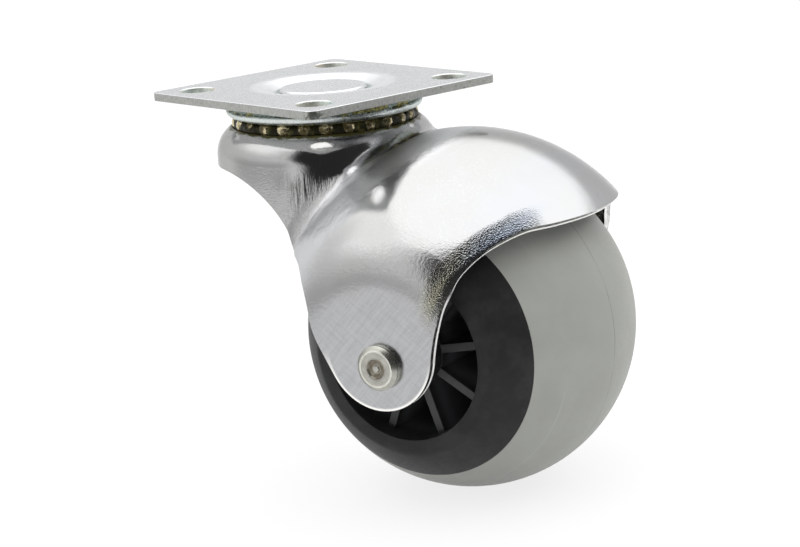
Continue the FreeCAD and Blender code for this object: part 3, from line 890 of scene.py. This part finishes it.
class CASTOR_OT_grease(bpy.types.Operator):
    """Fills the gap between the races with grease that the balls stand in"""
    bl_idname = "castor.grease"
    bl_label = "Grease"

    def execute(self, context):
        steel = context.scene.castor_steel
        low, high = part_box("upper_ball_01")
        middle, ball_r = (low + high) / 2, (high.z - low.z) / 2
        deselect_all()
        bpy.ops.mesh.primitive_torus_add(
            major_segments=208, minor_segments=20, major_radius=middle.x, minor_radius=ball_r * 0.85,
            location=(0, 0, middle.z - 0.14 * ball_r))
        ring = context.active_object
        ring.name = "grease_ring"
        bpy.ops.object.transform_apply(location=True, rotation=True, scale=True)
        lumps = bpy.data.textures.new("grease_lumps", "CLOUDS")
        lumps.noise_scale = steel.lump_size
        lumps.noise_depth = 2
        bpy.ops.object.modifier_add(type="DISPLACE")
        lump = ring.modifiers[-1]
        lump.texture = lumps
        lump.texture_coords = "LOCAL"
        lump.strength = steel.grease_lumps
        lump.mid_level = 0.5
        bpy.ops.object.modifier_apply(modifier=lump.name)
        bpy.ops.object.shade_smooth()
        dress(ring, grease_finish("old_grease", steel.grease))
        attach(ring, "base")
        return {"FINISHED"}


class CASTOR_OT_balls(bpy.types.Operator):
    """Puts a smooth ball in the place of each flat-sided one"""
    bl_idname = "castor.balls"
    bl_label = "Balls"

    def execute(self, context):
        steel = context.scene.castor_steel
        finish = ball_finish("greased_balls", steel.ball_steel)
        for node in sorted(frame["nodes"]):
            if "_ball_" not in node:
                continue
            low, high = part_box(node)
            deselect_all()
            bpy.ops.mesh.primitive_uv_sphere_add(
                segments=steel.ball_segments, ring_count=steel.ball_segments // 2,
                radius=(high.z - low.z) / 2, location=(low + high) / 2)
            ball = context.active_object
            ball.name = node.replace("_ball_", "_smooth_ball_")
            bpy.ops.object.shade_smooth()
            bpy.ops.object.transform_apply(location=True, rotation=True, scale=True)
            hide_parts(node)
            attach(ball, body_of(frame["nodes"][node])[0])
            dress(ball, finish)
        return {"FINISHED"}


def background_rays(tree):
    """1 for the rays that show the background: from the camera, off gloss and through glass."""
    rays = tree.nodes.new("ShaderNodeLightPath")
    share = rays.outputs["Is Camera Ray"]
    for kind in ("Is Glossy Ray", "Is Transmission Ray"):
        either = tree.nodes.new("ShaderNodeMath")
        either.operation = "MAXIMUM"
        tree.links.new(share, either.inputs[0])
        tree.links.new(rays.outputs[kind], either.inputs[1])
        share = either.outputs["Value"]
    return share


def floor_material(colour):
    """Pale floor that shows as white apart from the castor's shadow."""
    material = bpy.data.materials.new("pale_floor")
    material.use_nodes = True
    material.cycles.emission_sampling = "NONE"
    tree = material.node_tree
    tree.nodes.clear()
    output = tree.nodes.new("ShaderNodeOutputMaterial")
    matt = tree.nodes.new("ShaderNodeBsdfDiffuse")
    matt.inputs["Color"].default_value = (*colour, 1)
    glow = tree.nodes.new("ShaderNodeEmission")
    share = tree.nodes.new("ShaderNodeMath")
    share.operation = "MULTIPLY"
    share.inputs[1].default_value = FLOOR_GLOW
    tree.links.new(background_rays(tree), share.inputs[0])
    mix = tree.nodes.new("ShaderNodeMixShader")
    tree.links.new(share.outputs["Value"], mix.inputs["Fac"])
    tree.links.new(matt.outputs["BSDF"], mix.inputs[1])
    tree.links.new(glow.outputs["Emission"], mix.inputs[2])
    tree.links.new(mix.outputs["Shader"], output.inputs["Surface"])
    return material


def add_floor(colour):
    """A wide floor under the wheel."""
    deselect_all()
    bpy.ops.mesh.primitive_plane_add(size=6, location=(0, 0, CAD_LOW.z - 0.05 * MM))
    floor = bpy.context.active_object
    floor.name = "studio_floor"
    floor.data.materials.append(floor_material(colour))


class Screen(NodeTree):
    """A studio screen's material: an even glow that fades out at the screen's borders."""

    def __init__(self, name, level):
        self.material = bpy.data.materials.new(name)
        super().__init__(self.material, "Object")
        output = self.tree.nodes.new("ShaderNodeOutputMaterial")
        glow = self.tree.nodes.new("ShaderNodeEmission")
        glow.inputs["Strength"].default_value = level
        clear = self.tree.nodes.new("ShaderNodeBsdfTransparent")
        self.mix_shader = self.tree.nodes.new("ShaderNodeMixShader")
        self.tree.links.new(clear.outputs["BSDF"], self.mix_shader.inputs[1])
        self.tree.links.new(glow.outputs["Emission"], self.mix_shader.inputs[2])
        self.tree.links.new(self.mix_shader.outputs["Shader"], output.inputs["Surface"])

    def cover(self, *masks):
        """The screen is solid where every mask is 1."""
        self.put(self.mix_shader.inputs["Fac"], self.product(*masks))

    def azimuth(self):
        """Azimuth of the place in degrees: 0 is towards -Y and 90 towards +X."""
        turn = self.maths("ARCTAN2", self.coordinate("X"), self.product(self.coordinate("Y"), -1.0))
        return self.product(turn, math.degrees(1))


def only_in_reflections(screen):
    """The metal shows this screen; it casts nothing on the castor and the camera looks past it."""
    screen.visible_camera = False
    screen.visible_diffuse = False
    screen.visible_shadow = False
    screen.visible_volume_scatter = False


def add_ceiling(level):
    """A large soft box overhead, further back than the castor."""
    deselect_all()
    bpy.ops.mesh.primitive_plane_add(size=5, location=(0, 0, SOFT_BOX_CENTRE.z))
    ceiling = bpy.context.active_object
    ceiling.name = "soft_box"
    bpy.ops.object.transform_apply(location=True, rotation=True, scale=True)
    glow = Screen("soft_box_cloth", level)
    glow.cover(glow.ramp(glow.distance_to(SOFT_BOX_CENTRE), 0.95, 1.75, 1, 0))
    ceiling.data.materials.append(glow.material)
    ceiling.visible_camera = False


def add_round_screen(name, radius, height, level):
    """A round wall about the castor, standing on the floor, and its material."""
    deselect_all()
    bpy.ops.mesh.primitive_cylinder_add(
        vertices=64, radius=radius, depth=height, end_fill_type="NOTHING",
        location=(0, 0, CAD_LOW.z + height / 2))
    screen = bpy.context.active_object
    screen.name = name
    bpy.ops.object.transform_apply(location=True, rotation=True, scale=True)
    cloth = Screen(name + "_cloth", level)
    screen.data.materials.append(cloth.material)
    only_in_reflections(screen)
    return screen, cloth


def add_dark_room(level):
    """The dark room that the photographer works in, seen in the plating, with a dark floor."""
    room, cloth = add_round_screen("dark_room", radius=0.45, height=1.2, level=level)
    choose(room)
    bpy.ops.object.mode_set(mode="EDIT")
    bpy.ops.mesh.select_all(action="DESELECT")
    bpy.ops.object.mode_set(mode="OBJECT")
    for edge in room.data.edges:
        edge.select = all(room.data.vertices[v].co.z < CAD_LOW.z + 1 * MM for v in edge.vertices)
    bpy.ops.object.mode_set(mode="EDIT")
    bpy.ops.mesh.extrude_edges_move()
    bpy.ops.transform.resize(value=(0.2, 0.2, 1), center_override=(0, 0, 0))
    bpy.ops.transform.translate(value=(0, 0, 0.5 * MM))
    bpy.ops.object.mode_set(mode="OBJECT")
    azimuth, height = cloth.azimuth(), cloth.coordinate("Z")
    # The room's top rises towards the right, and its left side draws in near the floor.
    lift = cloth.ramp(azimuth, 5, 60, 0, 0.28)
    draw_in = cloth.ramp(height, -0.05, 0.15, 13, 0)
    cloth.cover(
        cloth.ramp(cloth.maths("SUBTRACT", azimuth, draw_in), -12, 2),
        cloth.ramp(azimuth, 90, 116, 1, 0),
        cloth.ramp(cloth.maths("SUBTRACT", height, lift), 0.46, 0.62, 1, 0),
        cloth.ramp(cloth.radius_about("Z", ORIGIN), 0.12, 0.17),
    )


def add_grey_board(level):
    """A low grey board at the left, seen along the horizon."""
    cloth = add_round_screen("grey_board", radius=0.26, height=0.12, level=level)[1]
    cloth.cover(
        cloth.band(cloth.azimuth(), (-90, -60), (-16, 0)),
        cloth.ramp(cloth.coordinate("Z"), -0.03, 0.05, 1, 0),
    )


def add_side_light(level):
    """A soft light high at the left of the camera."""
    cloth = add_round_screen("side_light", radius=0.6, height=0.95, level=level)[1]
    cloth.cover(
        cloth.band(cloth.azimuth(), (-100, -62), (-46, -8)),
        cloth.ramp(cloth.coordinate("Z"), 0.14, 0.42),
    )


def set_world():
    """A white background, and a level for matt surfaces that falls towards the floor."""
    world = bpy.data.worlds.new("studio")
    bpy.context.scene.world = world
    studio = NodeTree(world, "Generated")
    level = studio.ramp(studio.coordinate("Z"), -0.1, 0.8, 0.50, 0.85)
    tree = studio.tree
    output = tree.nodes.new("ShaderNodeOutputWorld")
    walls = tree.nodes.new("ShaderNodeBackground")
    tree.links.new(level, walls.inputs["Strength"])
    walls.inputs["Color"].default_value = (1, 1, 1, 1)
    white = tree.nodes.new("ShaderNodeBackground")
    white.inputs["Color"].default_value = (1, 1, 1, 1)
    mix = tree.nodes.new("ShaderNodeMixShader")
    tree.links.new(background_rays(tree), mix.inputs["Fac"])
    tree.links.new(walls.outputs["Background"], mix.inputs[1])
    tree.links.new(white.outputs["Background"], mix.inputs[2])
    tree.links.new(mix.outputs["Shader"], output.inputs["Surface"])


def add_camera(stage):
    """The photograph's camera."""
    azimuth, elevation, roll = stage.camera_azimuth, stage.camera_elevation, stage.camera_roll
    level = Vector((math.cos(azimuth), math.sin(azimuth), 0))
    back = Vector((
        math.sin(azimuth) * math.cos(elevation),
        -math.cos(azimuth) * math.cos(elevation),
        math.sin(elevation),
    ))
    upright = back.cross(level)
    right = level * math.cos(roll) - upright * math.sin(roll)
    up = level * math.sin(roll) + upright * math.cos(roll)
    data = bpy.data.cameras.new("photo_camera")
    data.sensor_width = 36
    data.lens = stage.lens
    data.clip_start = 0.01
    data.clip_end = 20
    camera = bpy.data.objects.new("photo_camera", data)
    bpy.context.scene.collection.objects.link(camera)
    turn = Matrix((right, up, back)).transposed()
    camera.matrix_world = Matrix.Translation(stage.camera_place) @ turn.to_4x4()
    bpy.context.scene.camera = camera


class CASTOR_OT_stage(bpy.types.Operator):
    """Sets the floor, the soft box, the screens, the world and the camera"""
    bl_idname = "castor.stage"
    bl_label = "Stage"

    def execute(self, context):
        stage = context.scene.castor_stage
        context.scene.view_settings.view_transform = "Standard"
        add_floor(stage.floor_colour)
        set_world()
        add_ceiling(stage.soft_box)
        add_dark_room(stage.dark_room)
        add_grey_board(stage.grey_board)
        add_side_light(stage.side_light)
        add_camera(stage)
        return {"FINISHED"}


class CASTOR_PT_looks(bpy.types.Panel):
    """Buttons for each group of pieces, with their settings"""
    bl_label = "Castor looks"
    bl_idname = "CASTOR_PT_looks"
    bl_space_type = "VIEW_3D"
    bl_region_type = "UI"
    bl_category = "Castor"

    def draw(self, context):
        for step in STEPS:
            self.layout.operator(step)
        for group in ("castor_steel", "castor_wheel", "castor_stage"):
            settings = getattr(context.scene, group)
            box = self.layout.box()
            for name in settings.bl_rna.properties.keys():
                if name not in ("rna_type", "name"):
                    box.prop(settings, name)


STEPS = (
    "castor.plate",
    "castor.fork",
    "castor.axle",
    "castor.wheel",
    "castor.balls",
    "castor.grease",
    "castor.stage",
)
CLASSES = (
    CastorSteelSettings,
    CastorWheelSettings,
    CastorStageSettings,
    CASTOR_OT_plate,
    CASTOR_OT_fork,
    CASTOR_OT_axle,
    CASTOR_OT_wheel,
    CASTOR_OT_balls,
    CASTOR_OT_grease,
    CASTOR_OT_stage,
    CASTOR_PT_looks,
)


def register():
    """Adds the classes and their settings."""
    for cls in CLASSES:
        bpy.utils.register_class(cls)
    bpy.types.Scene.castor_steel = PointerProperty(type=CastorSteelSettings)
    bpy.types.Scene.castor_wheel = PointerProperty(type=CastorWheelSettings)
    bpy.types.Scene.castor_stage = PointerProperty(type=CastorStageSettings)


def unregister():
    """Takes the classes and their settings away."""
    del bpy.types.Scene.castor_stage
    del bpy.types.Scene.castor_wheel
    del bpy.types.Scene.castor_steel
    for cls in reversed(CLASSES):
        bpy.utils.unregister_class(cls)


def main():
    """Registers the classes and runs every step."""
    register()
    bpy.ops.castor.plate()
    bpy.ops.castor.fork()
    bpy.ops.castor.axle()
    bpy.ops.castor.wheel()
    bpy.ops.castor.balls()
    bpy.ops.castor.grease()
    bpy.ops.castor.stage()


if __name__ == "__main__":
    main()
